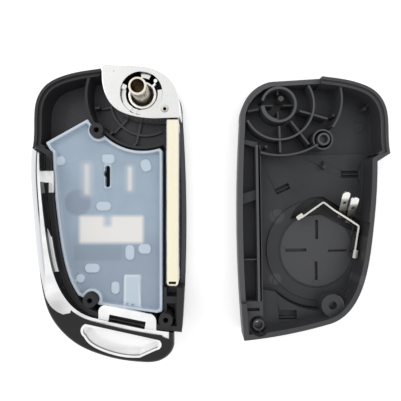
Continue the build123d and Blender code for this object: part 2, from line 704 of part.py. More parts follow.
def cover_ribs():
    """Ring, arcs and spokes that bear on the head, and the thin walls beyond them."""
    low = FLOOR - 0.2
    ring_t = COVER_RING_OUT - COVER_RING_IN
    ribs = ring_wall(COVER_RING_OUT - ring_t / 2, ring_t, 14, 278, low, COVER_RIB_TOP)
    ribs += ring_wall(COVER_RING_OUT - COVER_RING_THICK / 2, COVER_RING_THICK, 277, 356, low, COVER_RIB_TOP)
    ribs += ring_wall(COVER_RIB_R, COVER_RIB_T, 148, 334, low, COVER_RIB_TOP)
    ribs += spoke(350, COVER_RING_OUT + 0.4, 8.0, COVER_RIB_T, low, COVER_RIB_TOP - 1.2)
    for degrees, inner, outer in ((196.5, 5.6, 13.1), (233, 5.2, 12.8), (268.5, 5.4, 12.3)):
        ribs += spoke(degrees, inner, outer, COVER_RIB_T, low, COVER_RIB_TOP - 0.6)
    ribs += wall_along(ThreePointArc((7.5, 0.5), (6.3, 2.2), (4.4, 3.6)), COVER_RIB_T, low, COVER_RIB_TOP)
    left = ThreePointArc((-15.05, 5.6), (-15.85, 0.6), (-13.4, -6.1))
    below = ThreePointArc((-9.6, -10.4), (-3.5, -12.75), (4.9, -12.2))
    for arc in (left, below):
        ribs += wall_along(arc, COVER_RIB_T, low, COVER_RIB_TOP + 0.6)
    for degrees, inner in ((0, 1.3), (90, 2.7), (180, 1.3), (270, 1.5)):
        ribs += spoke(degrees, inner, COVER_RING_IN, 0.4, low, COVER_RIB_TOP - 1.3)
    ribs += disc((-0.7, 1.65), 0.7, low, COVER_RIB_TOP - 0.7)
    for centre in ((-14.3, -2.8), (3.2, -10.6)):
        ribs += disc(centre, 0.4, low, 5.7)
    ribs += wall_along(Line((-22.6, -0.9), (-25.2, 1.1)), 0.5, low, 4.2)
    ribs += disc((-22.7, -0.95), 0.45, low, 4.6)
    return ribs & inside()


def blade_channel():
    """Walls beside the blade in the cover, with the slanted step and the divider across."""
    low = FLOOR - 0.2
    end_y = -50.3
    near = BLADE_X - 0.75
    walls = block(near, BLADE_X - 0.1, end_y, -10.2, low, COVER_RIM_LOW)
    walls += block(near - 0.75, near - 0.45, end_y - 2, -10.2, low, COVER_RIM_LOW - 0.6)
    walls += prism(shape_of((near, -10.9), (12, -8.6), (12, -7.9), (near, -9.4)), low, 5.4)
    step = shape_of((near, -21.5), (12, -23.2), (12, -26.2), (near, -24.0))
    walls += prism(step, low, 5.0)
    walls += block(near, 12, -39.75, -39.4, low, 5.6)
    walls += block(near - 0.75, 12, BOTTOM_Y, end_y, low, 5.8)
    walls -= block(near + 0.2, 9.0, -52.8, -52.0, 4.6, 7)
    return walls & inside()


def cover_floor():
    """Raised floor under the board, with the plateau round the cell."""
    low = FLOOR - 0.2
    bay = shape_of((-30, -12.5), (6, -12.5), (6, -61), (-30, -61))
    plateau = Sketch() + Pos(*CELL) * Circle(PLATEAU_R)
    side = ((-20.5, -45.2), (-22.6, -41.3), (-30, -41.3), (-30, -61), (6, -61))
    shelf = shape_of((6, -47.3), (1.0, -48.3), ((-4.1, -51.7), (-11.0, -53.2)), (-15.8, -49.6), *side)
    floor = prism(bay, low, COVER_BASE) + (prism(plateau, low, COVER_PLATEAU) & prism(bay, 0, 20))
    floor += prism(shelf, low, COVER_SHELF)
    floor -= disc(CELL, CELL_R, CELL_FLOOR, RIM_Z)
    floor -= block(-30, -22.1, -41.3, -30.5, FLOOR, RIM_Z)
    return floor & inside()


def pockets():
    """Slots and shallow pockets in the floor of the cover."""
    beside_cell = ((-13.4, -24.4), (-22.0, -30.4), (-21.4, -33.9), (-11.6, -28.4))
    contact = shape_of((-3.4, -29.4), ((-6.6, -25.1), (-12.4, -23.8)), *beside_cell)
    seat = trace(FilletPolyline(*CONTACT_LINE, radius=0.5), line_width=CONTACT_T + 0.4)
    room = prism(contact, COVER_POCKET, RIM_Z) - prism(seat, 0, COVER_PLATEAU)
    for x, y, width, height in CELL_SLOTS:
        room += prism(tile((x, y), width, height, 0.15), COVER_POCKET, CELL_FLOOR + 1)
    room += slot_with_rib((-1.5, -21.4), 4.0, 1.6, -24)
    room += slot_with_rib((-19.5, -17.85), 4.6, 1.85, 0)
    shelf_slot = prism(tile((-1.9, -54.35), 4.7, 2.4, 0.2), COVER_SHELF - 1.5, COVER_SHELF + 1)
    room += shelf_slot - block(-4.0, 2, -55.3, -54.9, 0, COVER_SHELF - 0.6)
    beside_boss = prism(tile((-19.35, -49.4), 4.3, 2.6, 0.3, 49), COVER_SHELF - 1.6, COVER_SHELF + 1)
    room += beside_boss & prism(case_face(HEAD_WALL), 0, 20)
    groove = ThreePointArc((0.9, -48.4), (-4.1, -51.8), (-10.2, -53.2))
    room += wall_along(groove, 0.4, COVER_POCKET, COVER_SHELF + 1)
    return room


def back_cover():
    """Back half of the case: ribs for the head, screw bosses, blade channel and the coin-cell pocket."""
    shell = case_shell()
    shell -= block(8.4, 14, BLADE_TIP_Y - 2.5, -3, COVER_RIM_LOW, RIM_Z + 1)
    shell -= block(BUTT_X, 14, -3.5, BUTT_Y + 1, COVER_RIM_LOW, RIM_Z + 1)
    room = inside()
    shell += cover_floor()
    shell -= pockets()
    shell += cover_ribs() + blade_channel()
    for centre in ((0.1, -27.8), (0.35, -46.2), (-21.6, -28.6)):
        shell += disc(centre, 1.2, COVER_BASE - 0.2, COVER_BASE + 0.15)
    shell += disc((-22.4, -5.3), 1.4, FLOOR - 0.2, FLOOR + 0.15)
    shell += disc((-12.35, -15.8), 0.7, FLOOR, 4.0)
    shell += block(-12.5, -12.2, -15.8, -14.2, FLOOR, 3.2)
    for centre, (radius, top) in zip(BOSSES, COVER_BOSSES):
        shell += disc(centre, radius, FLOOR - 0.2, top) & room
    shell += disc(BOSSES[0], 2.65, FLOOR - 0.2, COVER_RIB_TOP - 0.4) - disc(BOSSES[0], 2.2, FLOOR, RIM_Z)
    shell -= disc(BOSSES[2], 2.25, 4.4, RIM_Z) - disc(BOSSES[2], COVER_BOSSES[2][0], 0, RIM_Z)
    for centre in BOSSES:
        shell -= disc(centre, SCREW_CLEAR_R, -1, RIM_Z)
        shell -= disc(centre, SCREW_HEAD_R, -1, SCREW_HEAD_D)
    rail_z = 2 * RIM_Z - RAIL_TOP
    groove = prism(case_face() - case_face(RAIL_W + SEAT), rail_z - RUN, rail_z + RAIL_H + RUN)
    return shell - (groove & prism(rail_reach(RUN), 0, 20))


def slot_with_rib(centre, length, width, turn):
    """Shallow slot in the floor that leaves a thin rib along its middle."""
    rib = tile(centre, length - 0.4, 0.3, 0.1, turn)
    return prism(tile(centre, length, width, 0.2, turn) - rib, COVER_POCKET, COVER_BASE + 1)


def build():
    """Every piece by node name, placed on the table."""
    front = {
        "front_housing": front_housing(),
        "trim_frame": trim_frame(),
        "key_loop": key_loop(),
        "loop_liner": loop_liner(),
        "button_membrane": button_membrane(),
        "release_button": release_button(),
        "pivot_post": pivot_post(),
        "key_head": key_head(),
        "key_blade": key_blade(),
        "blade_pin": blade_pin(),
        "torsion_spring": torsion_spring(),
    }
    for name, (x, y, width, height) in KEYS.items():
        front[name] = face_button(x, y, width, height, name == "boot_button")
    cover = {"back_cover": back_cover(), "battery_contact": battery_contact()}
    placed = {name: Pos(*FRONT_AT) * shape for name, shape in front.items()}
    lie = Pos(*COVER_AT) * Rot(0, 0, COVER_TURN)
    for name, shape in cover.items():
        placed[name] = lie * mirror(shape, about=Plane.YZ)
    return placed


def main():
    """Write one STEP file for each piece."""
    os.makedirs("parts", exist_ok=True)
    pieces = build()
    for name, shape in pieces.items():
        export_step(shape, f"parts/{name}.step")
    whole = Compound(children=[Compound(shape.wrapped) for shape in pieces.values()]).bounding_box()
    print("size", whole.size, "middle", whole.center())


main()
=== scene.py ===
"""Looks of an opened flip remote key.

The key has moulded black halves, chrome trim, a silicone pad and a bright cast head.
"""

import logging
import math
from dataclasses import dataclass, field
from enum import Enum

import bmesh
import bpy
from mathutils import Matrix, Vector


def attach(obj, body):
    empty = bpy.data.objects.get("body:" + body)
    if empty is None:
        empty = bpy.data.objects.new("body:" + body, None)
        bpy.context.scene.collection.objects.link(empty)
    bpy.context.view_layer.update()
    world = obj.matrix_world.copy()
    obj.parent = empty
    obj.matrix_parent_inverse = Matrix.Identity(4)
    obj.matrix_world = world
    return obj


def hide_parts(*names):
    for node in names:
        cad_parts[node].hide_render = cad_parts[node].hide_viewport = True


log = logging.getLogger("flip_key")
MM = 0.001
Colour = tuple[float, float, float]
Point = tuple[float, float, float]
Spot = tuple[float, float]  # place or size, seen from above
Span = tuple[float, float]  # value that gives nothing, then the value that gives the whole effect
Socket = bpy.types.NodeSocket

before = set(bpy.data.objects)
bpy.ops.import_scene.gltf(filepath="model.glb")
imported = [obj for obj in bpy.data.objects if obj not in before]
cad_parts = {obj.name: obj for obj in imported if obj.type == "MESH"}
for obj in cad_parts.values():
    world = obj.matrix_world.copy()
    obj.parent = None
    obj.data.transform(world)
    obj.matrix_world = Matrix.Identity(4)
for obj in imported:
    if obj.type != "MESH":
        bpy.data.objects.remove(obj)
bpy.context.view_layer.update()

NOISE_SPAN: Span = (0.3, 0.7)  # where most of a noise pattern lies
BROAD_OCTAVES = 3.0
FINE_OCTAVES = 4.0
SEEN_FROM_ABOVE: Point = (1, 1, 0)  # leaves the height out of a place
MERGE_REACH = 0.0005 * MM


class Coat(Enum):
    """How a finish meets the light."""

    PLASTIC = "plastic"
    METAL = "metal"


class Shape(Enum):
    """Outline of a patch."""

    BOX = "box"
    DISC = "disc"


class Surface:
    """A material with one shader, and the node steps that lead to it.

    Places, sizes and heights are given in millimetres.
    """

    def __init__(self, name: str) -> None:
        """Make the material with an empty tree and its shader.

        Args:
            name: name of the material.
        """
        self.material = bpy.data.materials.new(name)
        self.material.use_nodes = True
        self.tree = self.material.node_tree
        self.tree.nodes.clear()
        self.shader = self.tree.nodes.new("ShaderNodeBsdfPrincipled")
        output = self.tree.nodes.new("ShaderNodeOutputMaterial")
        self.link(self.shader.outputs["BSDF"], output.inputs["Surface"])
        self.place = self.tree.nodes.new("ShaderNodeTexCoord")

    def link(self, source: Socket, target: Socket) -> None:
        """Join one socket to another."""
        self.tree.links.new(source, target)

    def part_of(self, vector: Socket, axis: str) -> Socket:
        """Take one coordinate of a vector.

        Args:
            vector: the vector's socket.
            axis: X, Y or Z.

        Returns:
            The socket with the coordinate.
        """
        split = self.tree.nodes.new("ShaderNodeSeparateXYZ")
        self.link(vector, split.inputs["Vector"])
        return split.outputs[axis]

    def vector(self, operation: str, *values: Socket | Point) -> Socket:
        """Take one step of vector arithmetic.

        Args:
            operation: Blender's name of the step.
            values: what it works on, each a socket or fixed numbers.

        Returns:
            The socket with the result.
        """
        node = self.tree.nodes.new("ShaderNodeVectorMath")
        node.operation = operation
        for value, target in zip(values, node.inputs):
            if isinstance(value, bpy.types.NodeSocket):
                self.link(value, target)
            else:
                target.default_value = value
        gives_number = operation in ("LENGTH", "DOT_PRODUCT")
        return node.outputs["Value" if gives_number else "Vector"]

    def noise(self, size: float, octaves: float, stretch: Point = (1, 1, 1)) -> Socket:
        """Lay noise on the object's own coordinates.

        Args:
            size: size of one grain.
            octaves: octaves of finer noise.
            stretch: scale of the pattern along each axis.

        Returns:
            The socket with the noise, from 0 to 1.
        """
        mapping = self.tree.nodes.new("ShaderNodeMapping")
        mapping.inputs["Scale"].default_value = stretch
        noise = self.tree.nodes.new("ShaderNodeTexNoise")
        noise.inputs["Scale"].default_value = 1 / (size * MM)
        noise.inputs["Detail"].default_value = octaves
        self.link(self.place.outputs["Object"], mapping.inputs["Vector"])
        self.link(mapping.outputs["Vector"], noise.inputs["Vector"])
        return noise.outputs["Fac"]

    def ramp(self, source: Socket, low: float, high: float, out: Spot = (0, 1)) -> Socket:
        """Turn one range of values into another, held at its ends.

        Args:
            source: value to turn.
            low: value that gives the first result.
            high: value that gives the second one.
            out: the two results.

        Returns:
            The socket with the result.
        """
        node = self.tree.nodes.new("ShaderNodeMapRange")
        if low > high:
            low, high, out = high, low, (out[1], out[0])
        node.inputs["From Min"].default_value = low
        node.inputs["From Max"].default_value = high
        node.inputs["To Min"].default_value = out[0]
        node.inputs["To Max"].default_value = out[1]
        self.link(source, node.inputs["Value"])
        return node.outputs["Result"]

    def along(self, axis: str, span: Span) -> Socket:
        """Share that changes along one axis of the object."""
        return self.ramp(self.part_of(self.place.outputs["Object"], axis), span[0] * MM, span[1] * MM)

    def by_height(self, span: Span) -> Socket:
        """Share that changes with height."""
        return self.along("Z", span)

    def by_facing(self, span: Span) -> Socket:
        """Share by how far the surface faces up: 1 is level, 0 upright."""
        return self.ramp(self.part_of(self.place.outputs["Normal"], "Z"), *span)

    def rest_of(self, share: Socket) -> Socket:
        """What a share leaves of one."""
        return self.ramp(share, 0, 1, (1, 0))

    def times(self, one: Socket, other: Socket) -> Socket:
        """Multiply two values.

        Args:
            one: first value.
            other: second value.

        Returns:
            The socket with the product.
        """
        node = self.tree.nodes.new("ShaderNodeMath")
        node.operation = "MULTIPLY"
        self.link(one, node.inputs[0])
        self.link(other, node.inputs[1])
        return node.outputs["Value"]

    def paint(self, share: Socket, over: Colour) -> None:
        """Lay a colour over the base colour that the shader has so far.

        Args:
            share: how much of it shows, from 0 to 1.
            over: colour on top.
        """
        target = self.shader.inputs["Base Color"]
        mix = self.tree.nodes.new("ShaderNodeMix")
        mix.data_type = "RGBA"
        mix.inputs["B"].default_value = (*over, 1)
        self.link(share, mix.inputs["Factor"])
        self.link(target.links[0].from_socket, mix.inputs["A"])
        self.link(mix.outputs["Result"], target)

    def patch(self, shape: Shape, centre: Spot, half: Spot, soft: float) -> Socket:
        """Mark out a soft-edged upright patch.

        Args:
            shape: outline of the patch.
            centre: its middle.
            half: half its width and depth, or its radius twice.
            soft: width of its faded edge.

        Returns:
            The socket with 1 inside and 0 outside.
        """
        middle = (centre[0] * MM, centre[1] * MM, 0)
        reach = self.vector("SUBTRACT", self.place.outputs["Object"], middle)
        reach = self.vector("MULTIPLY", reach, SEEN_FROM_ABOVE)
        inside = half[0] * MM
        if shape is Shape.BOX:
            reach = self.vector("ABSOLUTE", reach)
            reach = self.vector("SUBTRACT", reach, (half[0] * MM, half[1] * MM, 0))
            reach = self.vector("MAXIMUM", reach, (0, 0, 0))
            inside = 0.0
        return self.ramp(self.vector("LENGTH", reach), inside, inside + soft * MM, (1, 0))

    def disc(self, centre: Spot, radius: float, soft: float) -> Socket:
        """Mark out a soft-edged disc."""
        return self.patch(Shape.DISC, centre, (radius, radius), soft)


@dataclass(frozen=True)
class Patch:
    """Soft-edged patch of another shade, placed in millimetres."""

    centre: Spot
    half: Spot
    shade: Colour
    strength: float = 1.0
    soft: float = 0.4
    shape: Shape = Shape.BOX

    def lay(self, surface: Surface) -> None:
        """Lay the patch over a surface's base colour."""
        mask = surface.patch(self.shape, self.centre, self.half, self.soft)
        surface.paint(surface.ramp(mask, 0, 1, (0, self.strength)), self.shade)


@dataclass(frozen=True)
class Finish:
    """A procedural finish: base colour, gloss and the fine texture that the real surface shows.

    Sizes and heights are in millimetres, as on the object.
    """

    name: str
    colour: Colour
    roughness: float
    coat: Coat = Coat.PLASTIC
    specular: float = 0.5
    grain: float = 0.12
    grain_height: float = 0.01
    shade_spread: float = 0.12
    gloss_spread: float = 0.08
    patch_size: float = 5.0
    stretch: Point = (1, 1, 1)
    under: tuple[Patch, ...] = ()
    patches: tuple[Patch, ...] = ()

    def shades(self) -> tuple[Colour, Colour]:
        """Find the darker and lighter ends of the base colour.

        Returns:
            The two colours.
        """
        low = tuple(channel * (1 - self.shade_spread) for channel in self.colour)
        high = tuple(min(1.0, channel * (1 + self.shade_spread)) for channel in self.colour)
        return low, high

    def make(self) -> bpy.types.Material:
        """Build the material.

        Returns:
            A material with patches of shade, wandering gloss and fine relief.
        """
        surface = Surface(self.name)
        shader = surface.shader
        shader.inputs["Metallic"].default_value = 1.0 if self.coat is Coat.METAL else 0.0
        shader.inputs["Specular IOR Level"].default_value = self.specular
        broad = surface.noise(self.patch_size, BROAD_OCTAVES, self.stretch)
        fine = surface.noise(self.grain, FINE_OCTAVES, self.stretch)
        ramp = surface.tree.nodes.new("ShaderNodeValToRGB")
        for stop, position, shade in zip(ramp.color_ramp.elements, NOISE_SPAN, self.shades()):
            stop.position = position
            stop.color = (*shade, 1)
        surface.link(broad, ramp.inputs["Fac"])
        surface.link(ramp.outputs["Color"], shader.inputs["Base Color"])
        ends = (self.roughness - self.gloss_spread, self.roughness + self.gloss_spread)
        surface.link(surface.ramp(fine, *NOISE_SPAN, ends), shader.inputs["Roughness"])
        bump = surface.tree.nodes.new("ShaderNodeBump")
        bump.inputs["Strength"].default_value = 1.0
        bump.inputs["Distance"].default_value = self.grain_height * MM
        surface.link(fine, bump.inputs["Height"])
        surface.link(bump.outputs["Normal"], shader.inputs["Normal"])
        for patch in self.under:
            patch.lay(surface)
        self.detail(surface)
        for patch in self.patches:
            patch.lay(surface)
        return surface.material

    def detail(self, surface: Surface) -> None:
        """Nothing more for a plain finish."""


@dataclass(frozen=True)
class Moulded(Finish):
    """Moulded plastic with painted light: raised ground paler as a painted highlight, rims and upright
    walls in painted tones of light and shade.
    """

    # painted highlight: raised ground is painted paler
    top: Colour = (0.05, 0.05, 0.055)
    top_at: Span = (1.8, 2.6)
    # painted light on the rims: a painted highlight where paler, a painted shade where darker
    rim: Colour = (0.028, 0.028, 0.031)
    rim_at: Span = (7.2, 7.4)
    # painted light on upright walls: a painted shade where darker, painted light where paler
    wall_shading: Colour = (0.019, 0.019, 0.021)
    steep: Span = (0.9, 0.3)

    def detail(self, surface: Surface) -> None:
        """Paint light and shade by height and by how far the surface faces up.

        Args:
            surface: the surface to shade.
        """
        # painted highlight on raised ground, then painted tones of light and shade on rims and upright
        # walls
        surface.paint(surface.by_height(self.top_at), self.top)
        surface.paint(surface.by_height(self.rim_at), self.rim)
        surface.paint(surface.by_facing(self.steep), self.wall_shading)


@dataclass(frozen=True)
class Plated(Finish):
    """Chrome plate: a grey flank of painted shade, a dark line of painted reflection along its crease,
    and satin ledges.

    The side that faces the heart of the key is painted dark and non-metal as painted shade, but for
    the root of the clip tab.
    """

    # painted shade: the sloped flank is painted grey
    flank: Colour = (0.60, 0.61, 0.63)
    flank_at: Span = (8.5, 8.6)
    off_upright: Span = (0.2, 0.3)
    off_level: Span = (0.93, 0.89)
    # painted reflection: a dark line along the crease
    crease: Colour = (0.10, 0.10, 0.11)
    crease_at: Span = (12.08, 12.12)
    crease_end: Span = (-3.0, 1.0)
    heart: Point = (-27.0, 4.0, 0.0)
    inward: Span = (0.35, 0.5)
    # painted shade: the inner side is painted near black and made non-metal
    inner_shade: Colour = (0.012, 0.012, 0.014)
    inner_shade_at: Span = (8.9, 8.95)
    root_centre: Spot = (-41.5, 9.45)
    root_half: Spot = (2.0, 1.35)
    root_soft: float = 0.1
    ledge_at: Span = (11.0, 10.9)
    ledge_level: Span = (0.9, 0.95)
    ledge_metal: float = 0.2

    def detail(self, surface: Surface) -> None:
        """Paint shade on the flank, a dark reflection along the crease, and shade on the inner side.

        Args:
            surface: the surface to shade.
        """
        slope = surface.times(surface.by_facing(self.off_upright), surface.by_facing(self.off_level))
        # painted shade on the flank
        surface.paint(surface.times(slope, surface.by_height(self.flank_at)), self.flank)
        # painted reflection along the crease
        line = surface.times(surface.by_height(self.crease_at), slope)
        surface.paint(surface.times(line, surface.along("Y", self.crease_end)), self.crease)
        # painted shade: the inner side is painted near black and made non-metal, but for the root of
        # the clip tab
        inner = surface.ramp(self.inwards(surface), *self.inward)
        root = surface.patch(Shape.BOX, self.root_centre, self.root_half, self.root_soft)
        inner_shade = surface.times(inner, surface.by_height(self.inner_shade_at))
        inner_shade = surface.times(inner_shade, surface.rest_of(root))
        surface.paint(inner_shade, self.inner_shade)
        ledge = surface.times(surface.by_height(self.ledge_at), surface.by_facing(self.ledge_level))
        plate = surface.ramp(ledge, 0, 1, (1, self.ledge_metal))
        metal = surface.times(surface.rest_of(inner_shade), plate)
        surface.link(metal, surface.shader.inputs["Metallic"])

    def inwards(self, surface: Surface) -> Socket:
        """Find how far the surface faces the heart of the key.

        Args:
            surface: the surface that gets the nodes.

        Returns:
            The socket with the cosine.
        """
        heart = tuple(value * MM for value in self.heart)
        way = surface.vector("SUBTRACT", heart, surface.place.outputs["Object"])
        way = surface.vector("NORMALIZE", surface.vector("MULTIPLY", way, SEEN_FROM_ABOVE))
        return surface.vector("DOT_PRODUCT", way, surface.place.outputs["Normal"])


@dataclass(frozen=True)
class Cast(Finish):
    """Bright plated casting with a few pits, and painted shade in the pocket round the pivot and along
    its edge.
    """

    pit: Colour = (0.35, 0.34, 0.32)
    pit_size: float = 0.9
    pit_octaves: float = 2.0
    pit_span: Span = (0.70, 0.74)
    pit_strength: float = 0.8
    pivot: Spot = (-17.13, 30.07)
    # painted shade in the pocket round the pivot
    pocket: Colour = (0.012, 0.012, 0.013)
    pocket_radius: float = 5.3
    pocket_soft: float = 0.05
    pocket_at: Span = (8.45, 8.3)
    # painted shade: a dark line along the edge of the pocket
    recess_edge_shade: Colour = (0.05, 0.05, 0.05)
    recess_edge_radius: float = 5.12
    recess_edge_soft: float = 0.03
    recess_edge_at: Span = (9.8, 9.6)

    def detail(self, surface: Surface) -> None:
        """Pit the casting, and paint shade into its pocket and along the edge round it.

        Args:
            surface: the surface to shade.
        """
        grains = surface.noise(self.pit_size, self.pit_octaves)
        surface.paint(surface.ramp(grains, *self.pit_span, (0, self.pit_strength)), self.pit)
        # painted shade in the pocket
        within = surface.disc(self.pivot, self.pocket_radius, self.pocket_soft)
        surface.paint(surface.times(within, surface.by_height(self.pocket_at)), self.pocket)
        # painted shade along the edge of the pocket
        core = surface.disc(self.pivot, self.recess_edge_radius, self.recess_edge_soft)
        ring = surface.times(within, surface.rest_of(core))
        surface.paint(surface.times(ring, surface.by_height(self.recess_edge_at)), self.recess_edge_shade)


@dataclass(frozen=True)
class Ground(Finish):
    """Nickel with a warm tint on the ground flat, bright chamfers and painted shade on level faces
    below the top.
    """

    edge: Colour = (0.97, 0.97, 0.96)
    chamfer: Span = (0.97, 0.9)
    # painted shade on level faces below the top of the blade
    sunk_shade: Colour = (0.015, 0.014, 0.012)
    sunk_shade_at: Span = (9.5, 9.3)
    sunk_shade_level: Span = (0.4, 0.8)

    def detail(self, surface: Surface) -> None:
        """Brighten the chamfered edges and paint shade on level faces below the top.

        Args:
            surface: the surface to shade.
        """
        surface.paint(surface.by_facing(self.chamfer), self.edge)
        # painted shade below the top
        sunk = surface.times(surface.by_height(self.sunk_shade_at), surface.by_facing(self.sunk_shade_level))
        surface.paint(sunk, self.sunk_shade)


@dataclass(frozen=True)
class Bored(Finish):
    """Plated piece whose bore gets a painted shade below a given height."""

    axis: Spot = (0.0, 0.0)
    bore_radius: float = 1.0
    bore_soft: float = 0.05
    # painted shade in the bore
    bore_shade: Colour = (0.02, 0.018, 0.015)
    bore_shade_at: Span = (0.0, -0.5)

    def detail(self, surface: Surface) -> None:
        """Paint shade into the bore."""
        within = surface.disc(self.axis, self.bore_radius, self.bore_soft)
        surface.paint(surface.times(within, surface.by_height(self.bore_shade_at)), self.bore_shade)


@dataclass(frozen=True)
class Leaf(Finish):
    """Spring leaf: grey slopes of painted shade, and bright flat edges and rounded tips with a painted
    highlight.
    """

    # painted shade: the slopes are painted grey
    slope: Colour = (0.34, 0.33, 0.31)
    slope_tilt: Span = (0.97, 0.93)
    slope_at: Span = (7.6, 7.3)
    # painted highlight: the tips are painted bright
    tip: Colour = (0.95, 0.94, 0.91)
    tip_at: Span = (7.6, 7.8)

    def detail(self, surface: Surface) -> None:
        """Paint shade on the slopes below the tips, and a highlight on the tips.

        Args:
            surface: the surface to shade.
        """
        low_slope = surface.times(surface.by_facing(self.slope_tilt), surface.by_height(self.slope_at))
        surface.paint(low_slope, self.slope)
        surface.paint(surface.by_height(self.tip_at), self.tip)


@dataclass(frozen=True)
class Lining(Finish):
    """Bright ring with a painted shade line under its top edge."""

    # painted shade: a dark line under the top edge
    line: Colour = (0.10, 0.10, 0.11)
    line_at: Span = (8.3, 9.1)
    upright: Span = (0.4, 0.2)

    def detail(self, surface: Surface) -> None:
        """Paint the shade line onto the ring's upright face."""
        line = surface.times(surface.by_height(self.line_at), surface.by_facing(self.upright))
        surface.paint(line, self.line)


@dataclass(frozen=True)
class TwoShot(Finish):
    """Button moulded in two shots, its back pale and its face black."""

    back: Colour = (0.84, 0.82, 0.78)
    back_at: Span = (1.55, 1.65)

    def detail(self, surface: Surface) -> None:
        """Blend to the pale back."""
        surface.paint(surface.by_height(self.back_at), self.back)


@dataclass(frozen=True)
class Silicone(Finish):
    """Milky translucent rubber, paler where it is raised."""

    raised: Colour = (0.6, 0.7, 0.8)
    raised_at: Span = (6.32, 6.58)
    rim: Colour = (0.66, 0.74, 0.84)
    rim_at: Span = (7.0, 7.45)
    alpha: float = 0.8

    def detail(self, surface: Surface) -> None:
        """Lighten the bumps and the rim, and let the rubber show what is under it.

        Args:
            surface: the surface to shade.
        """
        surface.paint(surface.by_height(self.raised_at), self.raised)
        surface.paint(surface.by_height(self.rim_at), self.rim)
        surface.shader.inputs["Alpha"].default_value = self.alpha


MARK = (0.072, 0.073, 0.078)
CASE_FRONT = Moulded(
    "case_front",
    (0.042, 0.042, 0.046),
    0.42,
    specular=0.28,
    grain=0.1,
    grain_height=0.012,
    # Painted light: raised ground paler as a painted highlight, all above 5 mm and the upright walls
    # darker as painted shade
    top=(0.076, 0.076, 0.082),
    rim=(0.02, 0.02, 0.022),
    rim_at=(5.0, 5.2),
)
CASE_BACK = Moulded(
    "case_back",
    (0.030, 0.031, 0.034),
    0.42,
    specular=0.28,
    grain=0.1,
    grain_height=0.012,
    # Painted light: raised ground and rims paler as a painted highlight, upright walls painted lighter
    # to lift their shade
    top=(0.078, 0.079, 0.085),
    top_at=(5.2, 6.5),
    rim=(0.05, 0.051, 0.055),
    wall_shading=(0.042, 0.042, 0.045),
    patches=(
        # Pale marks of the mould on the floor
        Patch((17.8, -0.6), (1.6, 1.6), MARK, 0.5, 0.6, Shape.DISC),
        Patch((17.3, -17.3), (1.3, 1.3), MARK, 0.5, 0.5, Shape.DISC),
        Patch((38.4, -16.6), (1.0, 1.0), MARK, 0.9, 0.6, Shape.DISC),
        # Top of the lower boss, then the floor of the round pocket
        Patch((30.75, -22.9), (2.8, 2.8), (0.038, 0.039, 0.042), 0.9, 0.1, Shape.DISC),
        Patch((28.4, -9.7), (9.4, 9.4), (0.068, 0.069, 0.074), 0.75, 0.2, Shape.DISC),
    ),
)
GLOSS_BLACK = Finish(
    "gloss_black",
    (0.006, 0.006, 0.007),
    0.06,
    specular=0.35,
    gloss_spread=0.02,
    grain_height=0.0005,
)
CHROME = Plated(
    "chrome_plate",
    (0.9, 0.9, 0.91),
    0.07,
    Coat.METAL,
    gloss_spread=0.03,
    grain_height=0.0005,
    # Painted shade: a soft dark fade at the lower tip of the trim
    under=(Patch((-37.6, -22.6), (0.8, 0.8), (0.40, 0.40, 0.42), 0.6, 3.6, Shape.DISC),),
)
LINER_CHROME = Lining(
    "liner_chrome",
    (0.92, 0.92, 0.93),
    0.1,
    Coat.METAL,
    gloss_spread=0.04,
    grain_height=0.001,
)
CAST_HEAD = Cast(
    "cast_head",
    (0.80, 0.805, 0.795),
    0.24,
    Coat.METAL,
    grain=0.25,
    grain_height=0.004,
    shade_spread=0.03,
)
BLADE_NICKEL = Ground(
    "blade_nickel",
    (0.92, 0.87, 0.68),
    0.3,
    Coat.METAL,
    grain=0.2,
    grain_height=0.003,
    stretch=(1, 0.05, 1),
    shade_spread=0.03,
)
PIVOT_NICKEL = Bored(
    "pivot_nickel",
    (0.86, 0.80, 0.70),
    0.25,
    Coat.METAL,
    grain_height=0.002,
    axis=(-17.13, 30.07),
    bore_radius=1.75,
    # painted shade: the post's bore browner below 15 mm
    bore_shade=(0.36, 0.30, 0.21),
    bore_shade_at=(15.5, 15.0),
)
PIN_NICKEL = Bored(
    "pin_nickel",
    (0.84, 0.79, 0.70),
    0.25,
    Coat.METAL,
    grain_height=0.002,
    axis=(-11.38, 26.27),
    bore_radius=0.5,
    # painted shade: the pin's hole near black below 9 mm
    bore_shade_at=(9.2, 8.7),
)
CONTACT_NICKEL = Leaf("contact_nickel", (0.66, 0.64, 0.60), 0.22, Coat.METAL, grain_height=0.002)
SPRING_WIRE = Finish("spring_wire", (0.92, 0.92, 0.91), 0.25, Coat.METAL, grain_height=0.002)
BUTTON_PLASTIC = TwoShot("button_plastic", (0.02, 0.02, 0.022), 0.35)
BUTTON_GLOW = (0.92, 0.90, 0.87)
PLATE_EDGE = (0.78, 0.83, 0.90)
